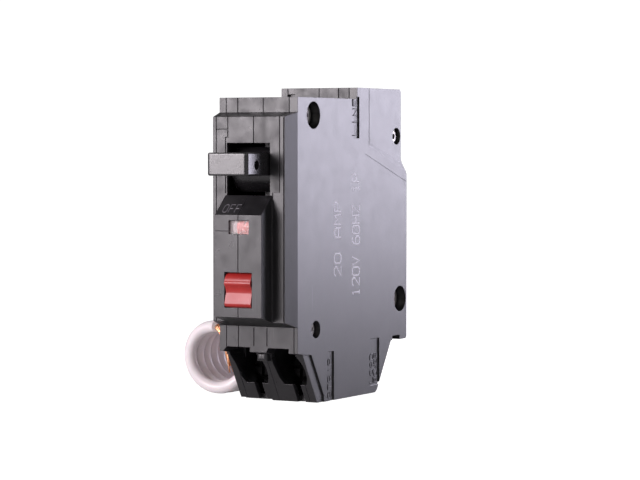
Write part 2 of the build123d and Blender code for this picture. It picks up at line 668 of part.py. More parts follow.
def make_electronics():
    board_face = 9.4
    with BuildPart() as board:
        block((board_face, board_face + 1.2), (15, 57), (32, 58))
        block((board_face, board_face + 1.2), (15, 35), (24.6, 32))
    with BuildPart() as chip:
        block((board_face - 1.8, board_face), (40, 49), (50, 54.5))
    with BuildPart() as capacitors:
        for place in [(30, 51), (30, 44.5)]:
            rod_x((3.4, board_face), place, 2.6)
    with BuildPart() as varistor:
        rod_x((5.2, 8.2), (18.5, 49), 4.2)
        for z in (46.5, 51.5):
            rod_x((8.2, board_face), (18.5, z), 0.35)
    with BuildPart() as resistors:
        for depth in (38, 42, 46):
            with BuildSketch(level(38)):
                with Locations((board_face - 1.1, depth)):
                    Circle(1.1)
            extrude(amount=6)
    with BuildPart() as thyristor:
        block((5.0, board_face), (52, 55.4), (45, 49.6))
    return {"circuit_board": board.part, "controller_chip": chip.part,
            "capacitors": capacitors.part, "varistor": varistor.part,
            "resistors": resistors.part, "thyristor": thyristor.part}


# ---------------------------------------------------------------- controls on the raised box
def make_test_button():
    """Paddle button: a proud ridge above a groove, with a flat facet slanting out below."""
    with BuildPart() as button:
        with BuildSketch(side(-4.2)):
            with BuildLine():
                low, high = BUTTON_Z
                Line((-8.6, low), (-10.75, low))
                ThreePointArc((-10.75, low), (-11.3, 28.35), (-11.5, 29.1))
                Line((-11.5, 29.1), (-10.75, 31.9))
                ThreePointArc((-10.75, 31.9), (-11, 33.2), (-11.65, 34.2))
                ThreePointArc((-11.65, 34.2), (-11.77, 34.75), (-11.55, 35.3))
                ThreePointArc((-11.55, 35.3), (-10.95, 36.6), (-9.95, high))
                Line((-9.95, high), (-8.6, high))
                Line((-8.6, high), (-8.6, low))
            make_face()
        extrude(amount=8.4)
        block((-5.3, 5.3), (-9.7, -8.4), (27.2, 38.4))
        rod_y((-8.4, 3.2), (0, BUTTON_MID), 1.5)
    with BuildPart() as contact:
        block((-0.9, 9.4), (5.1, 5.4), (31.9, 33.6))
        block((9.1, 9.4), (5.1, 17.0), (31.9, 33.6))
    return {"test_button": button.part, "test_contact": contact.part}


def make_indicator():
    with BuildPart() as drum:
        rod_x((-3.4, 3.9), INDICATOR_PIVOT, INDICATOR_RADIUS)
        depth, z = INDICATOR_PIVOT
        block((-4, 4.5), (depth + 1.6, depth + 5), (z - 5, z + 5), Mode.SUBTRACT)
        rod_x((-6.9, 6.9), INDICATOR_PIVOT, 0.8)
    with BuildPart() as lens:
        block((-2.9, 3.4), (-10.6, -9.75), (48.4, 52.0))
        fillet(lens.edges().filter_by(Axis.Y), 0.3)
    return {"indicator_drum": drum.part, "indicator_lens": lens.part}


# ---------------------------------------------------------------- terminals
def make_terminal(centre):
    with BuildPart() as lug:
        block((centre - 3.6, centre + 3.6), (20.0, 22.4), (3.0, 15.6))
        block((centre - 1.8, centre + 1.8), (22.4, 27.5), (13.5, 15.1))
        rod_y((19, 24), (centre, SCREW_Z), 1.9 + RUNNING_GAP, Mode.SUBTRACT)
    with BuildPart() as plate:
        block((centre - 3.3, centre + 3.3), (16.2, 17.4), (5.5, 14.0))
        rod_y((15, 18), (centre, SCREW_Z), 1.9 + RUNNING_GAP, Mode.SUBTRACT)
    with BuildPart() as screw:
        rod_y((13.4, 16.15), (centre, SCREW_Z), 3.2)
        fillet(screw.faces().sort_by(Axis.Y)[0].edges(), 0.6)
        rod_y((16.15, 26.4), (centre, SCREW_Z), 1.9)
        block((centre - 4, centre + 4), (13, 14.6), (SCREW_Z - 0.5, SCREW_Z + 0.5), Mode.SUBTRACT)
        block((centre - 0.5, centre + 0.5), (13, 14.6), (6, 14), Mode.SUBTRACT)
    return {"lug": lug.part, "clamp_plate": plate.part, "screw": screw.part}


# ---------------------------------------------------------------- conductors and pigtail
def largest_radii(points):
    """Arc for each corner: 0.45 of its shorter run over the tangent of half the turn."""
    radii = []
    for before, corner, after in zip(points, points[1:], points[2:]):
        run_in, run_out = corner - before, after - corner
        half_turn = radians(run_in.get_angle(run_out)) / 2
        radii.append(0.45 * min(run_in.length, run_out.length) / tan(half_turn))
    return radii


def tube(name, points, radius):
    """Round tube along straight runs joined by tangent arcs."""
    radii = largest_radii(points)
    with BuildPart() as pipe:
        with BuildLine() as path:
            FilletPolyline(*points, radius=radii)
        with BuildSketch(Plane(origin=path.line @ 0, z_dir=path.line % 0)):
            Circle(radius)
        sweep()
    length = path.wire().length
    print(name, "length", round(length, 1), "radii", [round(r, 1) for r in radii],
          "volume share", round(pipe.part.volume / (pi * radius**2 * length), 4))
    return pipe.part


LEAD_ROUTE = [
    GLAND_INSIDE, GLAND_PLACE + GLAND_DIRECTION * 5.8, at(-8.2, 61.2, 2.5), at(-13.6, 63.4, 1.88),
    at(-19.0, 61.2, 1.85), at(-21.4, 56.4, 1.85), at(-24.3, 53.1, 1.84),
]
BARE_ROUTE = [
    at(-22.4, 14.7, 20.4), at(-19.6, 14.0, 18.4), at(-17.9, 13.5, 12.9), at(-16.3, 13.3, 7.4),
]
LOAD_WIRE_ROUTE = [
    at(-6, 46, 19.0), at(-6, 49, 19.0), at(-5.4, 50.0, 13.4), at(-1, 45.6, 11.2), at(5.4, 43.4, 10.7),
    at(6.1, 36, 10.6), at(6.1, 33.4, 11.2), at(6.2, 31.4, 14.3), at(6.2, 27.5, 14.3),
]
NEUTRAL_WIRE_ROUTE = [
    GLAND_INSIDE, GLAND_INSIDE - GLAND_DIRECTION * 2.4, at(-2.6, 45.4, 9.6), at(3.6, 44.2, 8.0),
    at(6.1, 41.4, 8.4), at(5.9, 34.6, 8.5), at(2.6, 32.6, 8.4), at(-4.9, 32.7, 8.6),
    at(-6.5, 32.8, 12.4), at(-6.3, 31.4, 14.3), at(-6.3, 27.5, 14.3),
]
BRAID_ROUTE = [
    at(-9.6, 27, 63.0), at(-9.5, 33, 59.4), at(-9.2, 38.2, 56.0), at(-7.6, 39.4, 50.4),
    at(-6.0, 37.5, 46.6), at(-6.1, 37.35, 43.0),
]


def make_pigtail():
    length = COIL_PITCH * COIL_TURNS
    with BuildPart() as coil:
        depth = (COIL_FRONT - WIRE / 2, COIL_FRONT + length + WIRE / 2)
        rod_y(depth, (COIL_X, COIL_Z), COIL_RADIUS + WIRE / 2)
        rod_y(depth, (COIL_X, COIL_Z), COIL_RADIUS - WIRE / 2, Mode.SUBTRACT)
    with BuildPart() as gland:
        with BuildSketch(GLAND_PLANE):
            Circle(3.4)
        extrude(amount=1.2)
        with BuildSketch(GLAND_PLANE):
            Circle(2.8)
        extrude(amount=3.4)
        with BuildSketch(GLAND_PLANE):
            Circle(GLAND_BODY)
        extrude(amount=-2.2)
        with BuildSketch(GLAND_PLANE.offset(-3)):
            Circle(WIRE / 2)
        extrude(amount=8, mode=Mode.SUBTRACT)
    return {"strain_relief": gland.part, "pigtail_coil": coil.part,
            "pigtail_lead": tube("pigtail_lead", LEAD_ROUTE, WIRE / 2),
            "pigtail_bare_end": tube("pigtail_bare_end", BARE_ROUTE, BARE_RADIUS)}


def make_springs():
    return {
        "toggle_spring": coil_spring(at(-6.1, 25.6, 61.0), at(-6.1, 32.0, 55.0), 0.55, 0.3, 9),
        "test_spring": coil_spring(at(0, -8.4, BUTTON_MID), at(0, 1.7, BUTTON_MID), 2.1, 0.45, 6),
        "plunger_spring": coil_spring(at(SOLENOID_X, 28.4, SOLENOID_Z),
                                      at(SOLENOID_X, 36.0, SOLENOID_Z), 2.0, 0.35, 6),
        "armature_spring": coil_spring(at(-2.9, *ARMATURE_PIVOT), at(-1.2, *ARMATURE_PIVOT),
                                       0.95, 0.3, 3),
    }


def main():
    os.makedirs("parts", exist_ok=True)
    housing = make_housing()
    arm, moving_contact = make_arm()
    pieces = {
        "left_cover": make_left_cover(housing),
        "left_case": make_left_case(housing),
        "right_case": make_right_case(housing),
        "right_cover": make_right_cover(housing),
        "large_rivets": make_rivets(LARGE_RIVETS, LARGE_SHANK, LARGE_HEAD, LARGE_CUP_FLOOR),
        "small_rivets": make_rivets(SMALL_RIVETS, SMALL_SHANK, SMALL_HEAD, SMALL_CUP_FLOOR),
        "handle": make_handle(),
        "contact_arm": arm,
        "moving_contact": moving_contact,
        "differential_transformer": make_transformer(34.5),
        "grounded_neutral_transformer": make_transformer(38.3),
        "load_wire": tube("load_wire", LOAD_WIRE_ROUTE, INNER_WIRE / 2),
        "neutral_wire": tube("neutral_wire", NEUTRAL_WIRE_ROUTE, INNER_WIRE / 2),
        "contact_braid": tube("contact_braid", BRAID_ROUTE, BRAID_RADIUS),
    }
    pieces |= make_line_side() | make_trip_unit() | make_pins() | make_solenoid()
    pieces |= make_electronics() | make_test_button() | make_indicator()
    pieces |= make_pigtail() | make_springs()
    for side_name, centre in TERMINALS.items():
        for piece_name, piece in make_terminal(centre).items():
            pieces[f"{side_name}_{piece_name}"] = piece
    for name, piece in pieces.items():
        export(piece, name)


main()
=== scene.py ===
"""Visual model of a single-pole ground-fault circuit breaker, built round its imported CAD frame.

Everything is in metres in the frame's row coordinates. Places are written in millimetres as
x, depth behind the case's front shoulder, and height, and go through at().
"""

import json
import math

import bmesh
import bpy
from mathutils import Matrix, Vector


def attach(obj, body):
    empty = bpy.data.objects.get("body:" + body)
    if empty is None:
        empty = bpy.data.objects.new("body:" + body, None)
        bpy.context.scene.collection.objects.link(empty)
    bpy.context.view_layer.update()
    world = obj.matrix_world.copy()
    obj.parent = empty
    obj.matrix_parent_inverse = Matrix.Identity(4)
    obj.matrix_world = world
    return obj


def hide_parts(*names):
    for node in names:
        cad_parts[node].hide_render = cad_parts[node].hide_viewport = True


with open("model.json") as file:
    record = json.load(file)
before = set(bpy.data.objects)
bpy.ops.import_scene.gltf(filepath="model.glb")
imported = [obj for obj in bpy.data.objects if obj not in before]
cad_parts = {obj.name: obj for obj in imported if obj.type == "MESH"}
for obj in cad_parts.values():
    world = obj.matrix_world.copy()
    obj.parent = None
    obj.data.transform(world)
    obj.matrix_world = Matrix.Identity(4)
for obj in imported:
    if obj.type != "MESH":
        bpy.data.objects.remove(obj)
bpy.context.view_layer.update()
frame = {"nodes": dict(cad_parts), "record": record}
NODES = frame["nodes"]

MM = 0.001
SHOULDER_Y = -24.7
HALF = 12.7


def at(x, depth, z):
    return Vector((x, SHOULDER_Y + depth, z)) * MM


# ---------------------------------------------------------------- camera
CAMERA_PLACE = Vector((0.3523, -0.6233, 0.0729))
CAMERA_TURN = math.radians(29.051)
CAMERA_PITCH = math.radians(2.189)
LENS = 139.1

view_direction = Vector((
    -math.sin(CAMERA_TURN) * math.cos(CAMERA_PITCH),
    math.cos(CAMERA_TURN) * math.cos(CAMERA_PITCH),
    -math.sin(CAMERA_PITCH),
))
camera_data = bpy.data.cameras.new("camera")
camera_data.lens = LENS
camera_data.sensor_width = 36.0
camera_data.clip_start = 0.01
camera = bpy.data.objects.new("camera", camera_data)
camera.location = CAMERA_PLACE
camera.rotation_euler = view_direction.to_track_quat("-Z", "Y").to_euler()
bpy.context.collection.objects.link(camera)
bpy.context.scene.camera = camera


# ---------------------------------------------------------------- material graphs
# between a face's own normal and the rounded one, on flats and on edges
FLAT_COSINE, EDGE_COSINE = 0.97, 0.80
# radii in metres: rounded shading; the paler plastic rim, partly wear and partly painted
# highlight; the painted highlight on metal edges
ROUNDED_SHADING, WORN_AND_HIGHLIT_RIM, PAINTED_HIGHLIGHT_RIM = 0.00018, 0.00025, 0.0002
BEVEL_SAMPLES = 6


class Finish:
    """Node graph of one material, drawn in the object's own coordinates."""

    def __init__(self, name, color, roughness, **sockets):
        self.material = bpy.data.materials.new(name)
        self.material.use_nodes = True
        self.tree = self.material.node_tree
        self.shader = self.tree.nodes["Principled BSDF"]
        self.shader.inputs["Base Color"].default_value = (*color, 1)
        self.shader.inputs["Roughness"].default_value = roughness
        for key, value in sockets.items():
            self.shader.inputs[key.replace("_", " ")].default_value = value
        self.normal = None

    def round_edges(self, radius):
        """Shade edges as if rounded to a radius in metres."""
        rounded = self.node("Bevel", samples=BEVEL_SAMPLES)
        rounded.inputs["Radius"].default_value = radius
        self.normal = rounded.outputs["Normal"]

    def node(self, kind, **settings):
        made = self.tree.nodes.new("ShaderNode" + kind)
        for key, value in settings.items():
            setattr(made, key, value)
        return made

    def join(self, output, target):
        self.tree.links.new(output, target)

    def place(self, stretch=(1, 1, 1)):
        """Object coordinates, multiplied by stretch."""
        source = self.node("TexCoord")
        mapping = self.node("Mapping")
        mapping.inputs["Scale"].default_value = stretch
        self.join(source.outputs["Object"], mapping.inputs["Vector"])
        return mapping.outputs["Vector"]

    def noise(self, scale, detail=3.0, stretch=(1, 1, 1), distortion=0.0):
        made = self.node("TexNoise")
        made.inputs["Scale"].default_value = scale
        made.inputs["Detail"].default_value = detail
        made.inputs["Distortion"].default_value = distortion
        self.join(self.place(stretch), made.inputs["Vector"])
        return made.outputs["Fac"]

    def cells(self, scale, feature="F1"):
        made = self.node("TexVoronoi", feature=feature)
        made.inputs["Scale"].default_value = scale
        self.join(self.place(), made.inputs["Vector"])
        return made.outputs["Distance"]

    def bands(self, scale, direction, distortion):
        made = self.node("TexWave", bands_direction=direction)
        made.inputs["Scale"].default_value = scale
        made.inputs["Distortion"].default_value = distortion
        self.join(self.place(), made.inputs["Vector"])
        return made.outputs["Fac"]

    def spread(self, value, low_in, high_in, low=0.0, high=1.0):
        made = self.node("MapRange")
        for key, number in (("From Min", low_in), ("From Max", high_in),
                            ("To Min", low), ("To Max", high)):
            made.inputs[key].default_value = number
        self.join(value, made.inputs["Value"])
        return made.outputs["Result"]

    def math(self, operation, first, second):
        made = self.node("Math", operation=operation)
        for socket, value in zip(made.inputs, (first, second)):
            if isinstance(value, (int, float)):
                socket.default_value = value
            else:
                self.join(value, socket)
        return made.outputs[0]

    def mix(self, share, first, second):
        made = self.node("Mix", data_type="RGBA")
        self.join(share, made.inputs[0])
        for socket, value in ((made.inputs[6], first), (made.inputs[7], second)):
            if isinstance(value, tuple):
                socket.default_value = (*value, 1)
            else:
                self.join(value, socket)
        return made.outputs[2]

    def edges(self, radius):
        """1 on outer and inner edges within a radius in metres, 0 on flats."""
        rounded = self.node("Bevel")
        rounded.inputs["Radius"].default_value = radius
        geometry = self.node("NewGeometry")
        dot = self.node("VectorMath", operation="DOT_PRODUCT")
        self.join(rounded.outputs["Normal"], dot.inputs[0])
        self.join(geometry.outputs["Normal"], dot.inputs[1])
        return self.spread(dot.outputs["Value"], FLAT_COSINE, EDGE_COSINE)

    def color(self, output):
        self.join(output, self.shader.inputs["Base Color"])

    def roughness(self, output):
        self.join(output, self.shader.inputs["Roughness"])

    def bump(self, height, distance, strength=1.0):
        made = self.node("Bump")
        made.inputs["Distance"].default_value = distance
        made.inputs["Strength"].default_value = strength
        self.join(height, made.inputs["Height"])
        if self.normal is not None:
            self.join(self.normal, made.inputs["Normal"])
        self.normal = made.outputs["Normal"]
        self.join(self.normal, self.shader.inputs["Normal"])


# case black, and the paler colour of its scratches and of its edges, where the edges carry
# painted highlight as well as wear
CASE_BLACK, CASE_WEAR_AND_HIGHLIGHT = (0.013, 0.0122, 0.0138), (0.12, 0.11, 0.125)
# across the drum, in metres from the middle of the breaker's width
RED_STARTS, RED_FULL = -0.0012, -0.0010


def tint(color, factor):
    return tuple(min(1.0, part * factor) for part in color)


def plastic(name, color, roughness, grain=0.00001, wear_and_highlight=(0.16, 0.16, 0.17), rim_wear_and_highlight_share=0.5,
            mottle=0.25, unevenness=0.07, **sockets):
    """Moulded plastic: fine grain, cloudy gloss, hairline scratches, and paler edges that are
    partly wear and partly painted highlight.
    """
    finish = Finish(name, color, roughness, **sockets)
    finish.round_edges(ROUNDED_SHADING)
    cloud = finish.noise(110, 4.0)
    base = finish.mix(finish.spread(cloud, 0.35, 0.65), tint(color, 1 - mottle),
                      tint(color, 1 + mottle))
    hairs = finish.noise(900, 2.0, stretch=(1, 1, 0.03), distortion=0.4)
    hair_share = finish.spread(hairs, 0.70, 0.78, 0.0, 0.22)
    base = finish.mix(hair_share, base, wear_and_highlight)
    # paler edges: partly wear and partly painted highlight, standing in for the light that
    # rounded edges catch
    rim = finish.math("MULTIPLY", finish.edges(WORN_AND_HIGHLIT_RIM),
                      finish.spread(cloud, 0.3, 0.7, 0.4, 1.0))
    base = finish.mix(finish.math("MULTIPLY", rim, rim_wear_and_highlight_share), base, wear_and_highlight)
    finish.color(base)
    finish.roughness(finish.spread(finish.noise(260, 5.0), 0.3, 0.7, roughness - unevenness,
                                   roughness + unevenness))
    finish.bump(finish.noise(5200, 2.0), grain)
    finish.bump(finish.noise(600, 3.0), grain * 1.5, 0.5)
    return finish


def metal(name, color, roughness, lay=(1, 1, 0.04), tarnish=(0.5, 0.45, 0.4), share=0.3):
    """Drawn or stamped metal: fine lay marks, cloudy tarnish, and edges painted a quarter
    brighter as a highlight.
    """
    finish = Finish(name, color, roughness, Metallic=1.0)
    cloud = finish.noise(420, 5.0)
    stain = tuple(a * b for a, b in zip(color, tarnish))
    base = finish.mix(finish.spread(cloud, 0.45, 0.75, 0.0, share), color, stain)
    # painted highlight: edges made a quarter brighter in colour
    rim = finish.math("MULTIPLY", finish.edges(PAINTED_HIGHLIGHT_RIM), 0.5)
    base = finish.mix(rim, base, tint(color, 1.25))
    finish.color(base)
    marks = finish.noise(2600, 3.0, stretch=lay)
    finish.roughness(finish.spread(marks, 0.3, 0.7, roughness - 0.08, roughness + 0.14))
    finish.bump(marks, 0.000008)
    return finish


def wound(name, color, pitch, direction, roughness, depth=0.00006, metallic=0.0):
    """Closely wound wire or tape: one band to a turn, with painted shade between the turns."""
    finish = Finish(name, color, roughness, Metallic=metallic)
    turns = finish.bands(math.pi / (10 * pitch), direction, 0.3)
    # painted shade: the colour falls to a third in the grooves between turns
    base = finish.mix(finish.spread(turns, 0.0, 0.35), tint(color, 0.35), color)
    base = finish.mix(finish.spread(finish.noise(500, 4.0), 0.5, 0.7, 0, 0.4), base,
                      tint(color, 0.6))
    finish.color(base)
    finish.bump(turns, depth)
    return finish


def board_finish():
    """Solder mask with traces, pads and a fine weave under it."""
    green = (0.010, 0.085, 0.035)
    finish = Finish("board_green", green, 0.32, Coat_Weight=0.4)
    mask = finish.mix(finish.spread(finish.noise(400, 3.0), 0.4, 0.6), tint(green, 0.85), green)
    streets = finish.cells(190, "DISTANCE_TO_EDGE")
    mask = finish.mix(finish.spread(streets, 0.045, 0.06), (0.03, 0.19, 0.07), mask)
    pads = finish.cells(330)
    share = finish.spread(pads, 0.13, 0.16, 1.0, 0.0)
    finish.color(finish.mix(share, mask, (0.62, 0.60, 0.55)))
    finish.roughness(finish.spread(finish.noise(900, 2.0), 0.3, 0.7, 0.25, 0.4))
    finish.bump(finish.math("MAXIMUM", share, finish.spread(streets, 0.045, 0.06, 1.0, 0.0)),
                0.00003)
    return finish


def case_finish(name, shade, roughness, unevenness):
    """Black thermoset of the case, each moulding a little different in shade and gloss."""
    return plastic(name, tint(CASE_BLACK, shade), roughness, wear_and_highlight=CASE_WEAR_AND_HIGHLIGHT, rim_wear_and_highlight_share=0.5,
                   mottle=0.2, unevenness=unevenness, IOR=1.6)


def indicator_finish():
    """Drum with a pale field beside a red one."""
    finish = Finish("indicator_red", (0.72, 0.13, 0.11), 0.4)
    separate = finish.node("SeparateXYZ")
    finish.join(finish.place(), separate.inputs[0])
    share = finish.spread(separate.outputs["X"], RED_STARTS, RED_FULL)
    dirt = finish.spread(finish.noise(500, 3.0), 0.4, 0.7, 0.0, 0.35)
    pale = finish.mix(dirt, (0.90, 0.84, 0.84), (0.66, 0.60, 0.60))
    red = finish.mix(dirt, (0.95, 0.30, 0.27), (0.80, 0.17, 0.15))
    finish.color(finish.mix(share, pale, red))
    finish.bump(finish.noise(2500, 2.0), 0.00001)
    return finish


def lens_finish():
    finish = Finish("lens_clear", (1.0, 0.93, 0.93), 0.2, Transmission_Weight=0.9, IOR=1.4)
    finish.roughness(finish.spread(finish.noise(900, 4.0), 0.4, 0.7, 0.12, 0.34))
    finish.bump(finish.noise(1400, 2.0), 0.00001)
    return finish


def insulation_finish(name, color, sheen_roughness=0.36):
    """Extruded insulation: faint draw lines, scuffs and a little dirt."""
    finish = Finish(name, color, sheen_roughness, Coat_Weight=0.12, Subsurface_Weight=0.05,
                    Subsurface_Scale=0.001)
    dirt = finish.spread(finish.noise(240, 5.0), 0.5, 0.75, 0.0, 0.35)
    base = finish.mix(dirt, color, tint(color, 0.78))
    scuffs = finish.spread(finish.noise(1500, 2.0, stretch=(1, 0.15, 1)), 0.68, 0.75, 0.0, 0.3)
    finish.color(finish.mix(scuffs, base, tint(color, 0.6)))
    finish.roughness(finish.spread(finish.noise(500, 4.0), 0.3, 0.7, sheen_roughness - 0.06,
                                   sheen_roughness + 0.1))
    finish.bump(finish.noise(1800, 3.0), 0.00001)
    return finish


FINISHES = {
    "handle_black": plastic("handle_black", (0.014, 0.013, 0.0145), 0.26, rim_wear_and_highlight_share=0.7,
                            wear_and_highlight=(0.16, 0.15, 0.165), unevenness=0.03, IOR=1.75),
    "rivet_steel": metal("rivet_steel", (0.72, 0.70, 0.68), 0.34, share=0.4),
    "copper": metal("copper", (0.80, 0.42, 0.27), 0.28, tarnish=(0.6, 0.45, 0.4)),
    "copper_strands": metal("copper_strands", (0.90, 0.46, 0.26), 0.26, lay=(1, 1, 0.2)),
    "silver": metal("silver", (0.86, 0.85, 0.82), 0.25),
    "spring_steel": metal("spring_steel", (0.42, 0.42, 0.44), 0.25),
    "steel": metal("steel", (0.55, 0.55, 0.57), 0.32),
    "fibre": plastic("fibre", (0.30, 0.19, 0.11), 0.7, wear_and_highlight=(0.5, 0.38, 0.26), grain=0.00003),
    "bimetal": metal("bimetal", (0.62, 0.56, 0.48), 0.3, lay=(1, 1, 0.02)),
    "brass": metal("brass", (0.80, 0.62, 0.30), 0.26),
    "bobbin_white": plastic("bobbin_white", (0.72, 0.70, 0.64), 0.45, wear_and_highlight=(0.9, 0.9, 0.86),
                            mottle=0.08),
    "winding": wound("winding", (0.50, 0.17, 0.06), 0.00028, "Y", 0.22, metallic=0.6),
    "toroid_tape": wound("toroid_tape", (0.55, 0.42, 0.12), 0.0014, "Z", 0.3, 0.00004),
    "board_green": board_finish(),
    "chip_black": plastic("chip_black", (0.022, 0.022, 0.023), 0.55, grain=0.00002),
    "capacitor_sleeve": plastic("capacitor_sleeve", (0.03, 0.035, 0.10), 0.25, grain=0.000004),
    "varistor_blue": plastic("varistor_blue", (0.02, 0.09, 0.36), 0.28, grain=0.00002),
    "resistor_tan": wound("resistor_tan", (0.60, 0.46, 0.28), 0.0016, "Z", 0.4, 0.00001),
    "button_red": plastic("button_red", (0.36, 0.020, 0.018), 0.33, wear_and_highlight=(0.80, 0.30, 0.27),
                          rim_wear_and_highlight_share=0.55, mottle=0.12, unevenness=0.04),
    "indicator_red": indicator_finish(),
    "lens_clear": lens_finish(),
    "lug_tin": metal("lug_tin", (0.66, 0.66, 0.66), 0.32),
    # painted shade: the terminal screws, plated steel, are made near-black to stand in for the
    # shade deep in the terminal openings
    "screw_black": metal("screw_black", (0.012, 0.012, 0.012), 0.7, share=0.6),
    "insulation_black": insulation_finish("insulation_black", (0.02, 0.02, 0.02)),
    "insulation_white": insulation_finish("insulation_white", (0.84, 0.78, 0.79)),
    "insulation_white_bush": insulation_finish("insulation_white_bush", (0.66, 0.64, 0.62), 0.5),
}
# shade, roughness, unevenness of the gloss
CASE_LOOKS = {"left_cover": (0.95, 0.36, 0.07), "left_case": (1.05, 0.37, 0.11),
              "right_case": (0.92, 0.38, 0.11), "right_cover": (1.0, 0.32, 0.022)}
# radius of the rounded edges, in millimetres
EDGE_WIDTH = {
    "left_cover": 0.22, "left_case": 0.16, "right_case": 0.16, "right_cover": 0.25,
    "handle": 0.12, "test_button": 0.12, "indicator_lens": 0.05, "line_jaw": 0.12,
    "load_screw": 0.10, "neutral_screw": 0.10, "large_rivets": 0.15, "small_rivets": 0.12,
    "strain_relief": 0.2, "controller_chip": 0.1, "thyristor": 0.12, "trip_plunger": 0.1,
}


SHARPEST_SOFTENED = 35


def soften(piece, width):
    """Round the sharp edges of a CAD mesh, for the glints that moulded and stamped edges have."""
    bevel = piece.modifiers.new("edges", "BEVEL")
    bevel.width = width * MM
    bevel.segments = 2
    bevel.limit_method = "ANGLE"
    bevel.angle_limit = math.radians(SHARPEST_SOFTENED)
    bevel.use_clamp_overlap = True


def finish_nodes():
    slots = {row["node"]: row["material_slot"] for row in frame["record"]["subparts"]}
    for name, piece in NODES.items():
        if name in CASE_LOOKS:
            material = case_finish(name, *CASE_LOOKS[name]).material
        else:
            material = FINISHES[slots[name]].material
        piece.data.materials.clear()
        piece.data.materials.append(material)
        if name in EDGE_WIDTH:
            soften(piece, EDGE_WIDTH[name])


def link(name, data, material=None):
    piece = bpy.data.objects.new(name, data)
    bpy.context.collection.objects.link(piece)
    if material is not None:
        data.materials.append(material)
    return piece


# ---------------------------------------------------------------- pigtail
WIRE_RADIUS = 1.8
COIL_X, COIL_RADIUS = -24.6, 9.4
COIL_FRONT, COIL_PITCH, COIL_TURNS = 16.7, 4.0, 8.5
SLANT_RUN, SLANT_RISE = 9.4, 14.7
GLAND_HEIGHT = 8.3
GLAND_DIRECTION = Vector((0, SLANT_RISE, -SLANT_RUN)).normalized() * MM
GLAND_PLACE = at(-5.5, 47 + GLAND_HEIGHT * SLANT_RUN / SLANT_RISE, GLAND_HEIGHT)
GLAND_INSIDE = GLAND_PLACE - GLAND_DIRECTION * 2.2
LEAD_ROUTE = [
    GLAND_INSIDE, GLAND_PLACE + GLAND_DIRECTION * 5.8, at(-8.2, 61.2, 2.5), at(-13.6, 63.4, 1.88),
    at(-19.0, 61.2, 1.85), at(-21.4, 56.4, 1.85), at(-24.3, 53.1, 1.84),
]
BARE_ROUTE = [
    at(-22.4, 14.7, 20.4), at(-19.6, 14.0, 18.4), at(-17.9, 13.5, 12.9), at(-16.3, 13.3, 7.4),
]
POINTS_A_TURN = 18
FLOOR_GAP = 0.05
# how the coil strays from a true helix: size, radians a turn, phase
PINCH, PINCH_RATE, PINCH_PHASE = 0.025, 2.3, 0.6
CREEP, CREEP_RATE = 0.35, 1.7
SWAY, SWAY_RATE, SWAY_PHASE = 0.25, 1.1, 1.0
RADIUS_SHARE = 0.99
# bare strands: radius of the ring that each layer lies on, and its number of strands
STRAND_RADIUS = 0.235
STRAND_LAYERS = ((0.0, 1), (0.46, 6), (0.90, 12))
STRAND_TWIST = 0.55
FRAY_START, FRAY = 0.75, 0.35


def nurbs(name, points, radius, material=None):
    """Open quadratic spline with a round section."""
    data = bpy.data.curves.new(name, "CURVE")
    data.dimensions = "3D"
    data.bevel_depth = radius
    data.bevel_resolution = 6
    data.resolution_u = 4
    data.use_fill_caps = True
    spline = data.splines.new("NURBS")
    spline.points.add(len(points) - 1)
    for point, place in zip(spline.points, points):
        point.co = (*place, 1)
    spline.order_u = 3
    spline.use_endpoint_u = True
    spline.use_smooth = True
    return link(name, data, material)


def coil_points():
    """Turns from the rear, which starts on the floor, to the front, which ends at the top."""
    count = round(COIL_TURNS * POINTS_A_TURN)
    bulge = 1 / math.cos(math.pi / POINTS_A_TURN) ** 0.5
    points = []
    for step in range(1, count + 1):
        share = step / count
        turn = share * COIL_TURNS
        angle = math.radians(270) - 2 * math.pi * turn
        pinch = PINCH * math.sin(PINCH_RATE * turn + PINCH_PHASE) ** 2
        radius = COIL_RADIUS * bulge * (RADIUS_SHARE - pinch)
        creep = CREEP * math.sin(CREEP_RATE * turn)
        depth = COIL_FRONT + COIL_PITCH * (COIL_TURNS - turn) + creep
        centre_x = COIL_X + SWAY * math.sin(SWAY_RATE * turn + SWAY_PHASE)
        points.append(at(centre_x + radius * math.cos(angle),
                         depth,
                         WIRE_RADIUS + FLOOR_GAP + radius * (1 + math.sin(angle))))
    return points


def route_samples(points):
    """Points along a quadratic spline, read from a curve with no section."""
    guide = nurbs("guide", points, 0.0)
    guide.data.resolution_u = 8
    bpy.context.view_layer.update()
    mesh = bpy.data.meshes.new_from_object(guide)
    samples = [vertex.co.copy() for vertex in mesh.vertices]
    bpy.data.objects.remove(guide)
    bpy.data.meshes.remove(mesh)
    return samples


def add_tube(mesh, centres, radius, sides=7):
    """Closed round tube along points, added to a bmesh."""
    rings = []
    up = Vector((0, 1, 0))
    for index, centre in enumerate(centres):
        ahead = centres[min(index + 1, len(centres) - 1)] - centres[max(index - 1, 0)]
        ahead.normalize()
        across = up.cross(ahead).normalized()
        up = ahead.cross(across).normalized()
        rings.append([
            mesh.verts.new(centre + radius * (math.cos(angle) * across + math.sin(angle) * up))
            for angle in (2 * math.pi * side / sides for side in range(sides))
        ])
    for first, second in zip(rings, rings[1:]):
        for side in range(sides):
            after = (side + 1) % sides
            mesh.faces.new((first[side], first[after], second[after], second[side]))
    mesh.faces.new(reversed(rings[0]))
    mesh.faces.new(rings[-1])


